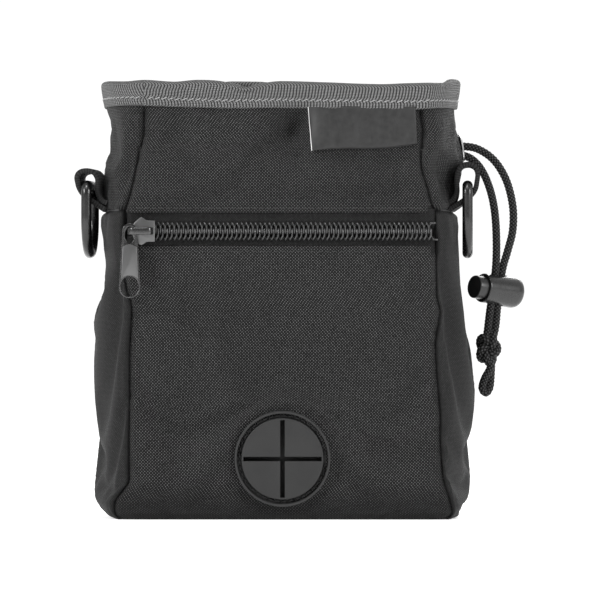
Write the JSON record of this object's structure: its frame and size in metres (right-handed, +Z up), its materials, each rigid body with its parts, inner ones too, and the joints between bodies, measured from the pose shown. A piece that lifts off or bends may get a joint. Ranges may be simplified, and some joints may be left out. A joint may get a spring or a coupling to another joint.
{
  "type": "treat pouch",
  "caption": "Soft belt pouch with a wide drawcord mouth, a zipped front pocket with a rubber bag dispenser, side D-rings on webbing loops and a belt clip.",
  "frame": {"origin": "middle of the base, on the surface that the pouch stands on", "axes": "+Z up, -Y out of the zipped front, +Y towards the wearer's hip, +X to the drawcord side"},
  "size_m": [0.1822, 0.0771, 0.1755],
  "materials": {
    "woven_shell": "coarse woven polyester, charcoal",
    "lower_gusset": "woven polyester, charcoal",
    "lining": "thin coated nylon, dark grey",
    "binding": "grey grosgrain tape",
    "zip_tape": "black woven zip tape",
    "zip_coil": "black nylon coil",
    "zip_metal": "gunmetal plated zinc",
    "dispenser_rubber": "matt dark grey rubber",
    "label": "dark satin label, blank",
    "webbing": "black webbing",
    "ring_metal": "black plated steel",
    "cord": "black braided polyester cord",
    "eyelet_metal": "nickel plated brass",
    "lock_plastic": "dark grey acetal",
    "button_plastic": "black acetal",
    "spring_steel": "bare spring steel",
    "clip_metal": "black painted spring steel",
    "rivet_metal": "nickel plated steel"
  },
  "bodies": {
    "pouch": {"front_upper_panel": "woven_shell", "front_pocket_panel": "woven_shell", "pocket_divider": "lining", "left_upper_gusset": "woven_shell", "right_upper_gusset": "woven_shell", "left_lower_gusset": "lower_gusset", "right_lower_gusset": "lower_gusset", "back_panel": "woven_shell", "base_panel": "lower_gusset", "lining": "lining", "top_binding": "binding", "zipper_tape_upper": "zip_tape", "zipper_tape_lower": "zip_tape", "zipper_teeth_upper": "zip_coil", "zipper_teeth_lower": "zip_coil", "bag_dispenser": "dispenser_rubber", "side_label": "label", "left_ring_loop": "webbing", "right_ring_loop": "webbing", "drawcord_loop": "cord", "drawcord_eyelet": "eyelet_metal", "drawcord_tail": "cord", "cord_knot": "cord", "belt_clip": "clip_metal", "clip_patch": "lower_gusset", "clip_rivets": "rivet_metal"},
    "zip_slider": {"zipper_slider": "zip_metal"},
    "zip_pull": {"zipper_pull": "zip_metal"},
    "d_ring_left": {"left_d_ring": "ring_metal"},
    "d_ring_right": {"right_d_ring": "ring_metal"},
    "cord_lock": {"cord_lock_barrel": "lock_plastic", "cord_lock_spring": "spring_steel"},
    "lock_button": {"cord_lock_button": "button_plastic"}
  },
  "joints": [
    {"name": "zip_slide", "type": "slide", "parent": "pouch", "child": "zip_slider", "axis": [1, 0, 0], "range_m": [0, 0.108], "deforming": ["zipper_teeth_upper", "zipper_teeth_lower"]},
    {"name": "pull_swing", "type": "hinge", "parent": "zip_slider", "child": "zip_pull", "pos_m": [-0.0604, -0.0335, 0.1155], "axis": [0, 1, 0], "range_deg": [-50, 90]},
    {"name": "left_ring_swing", "type": "hinge", "parent": "pouch", "child": "d_ring_left", "pos_m": [-0.0772, -0.004, 0.134], "axis": [0.0698, 0.9976, 0], "range_deg": [-4, 165]},
    {"name": "right_ring_swing", "type": "hinge", "parent": "pouch", "child": "d_ring_right", "pos_m": [0.0753, -0.004, 0.134], "axis": [-0.0279, -0.9996, 0], "range_deg": [-4, 165]},
    {"name": "lock_slide", "type": "slide", "parent": "pouch", "child": "cord_lock", "axis": [0.1392, 0, 0.9903], "range_m": [-0.007, 0.003]},
    {"name": "button_press", "type": "slide", "parent": "cord_lock", "child": "lock_button", "axis": [0.8112, 0.5736, -0.114], "range_m": [0, 0.0026], "stiffness_N_per_m": 300, "springref_m": -0.002, "deforming": ["cord_lock_spring"]}
  ]
}
